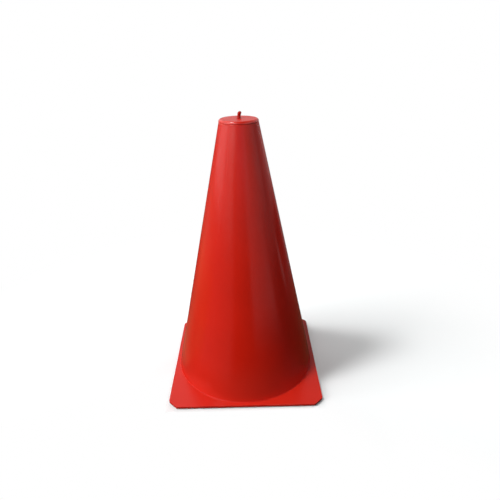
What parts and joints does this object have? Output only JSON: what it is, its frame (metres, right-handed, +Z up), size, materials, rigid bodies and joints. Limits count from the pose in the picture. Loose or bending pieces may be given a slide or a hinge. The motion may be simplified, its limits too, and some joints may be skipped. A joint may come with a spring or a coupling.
{
  "type": "marker cone",
  "caption": "Hollow red plastic marker cone on a thin square base plate with cut corners, closed at the top by a flat cap with a small gate stub.",
  "frame": {"origin": "centre of the base plate's underside, on the ground", "axes": "+Z up along the cone's axis; +X and +Y square to the plate's sides; the stub leans towards +X"},
  "size_m": [0.1336, 0.1336, 0.2354],
  "materials": {
    "plate_plastic": "satin",
    "cone_plastic": "satin",
    "cap_plastic": "satin",
    "stub_plastic": "satin"
  },
  "bodies": {
    "root": {"base_plate": "plate_plastic", "cone_shell": "cone_plastic", "top_cap": "cap_plastic", "gate_stub": "stub_plastic"}
  },
  "joints": []
}
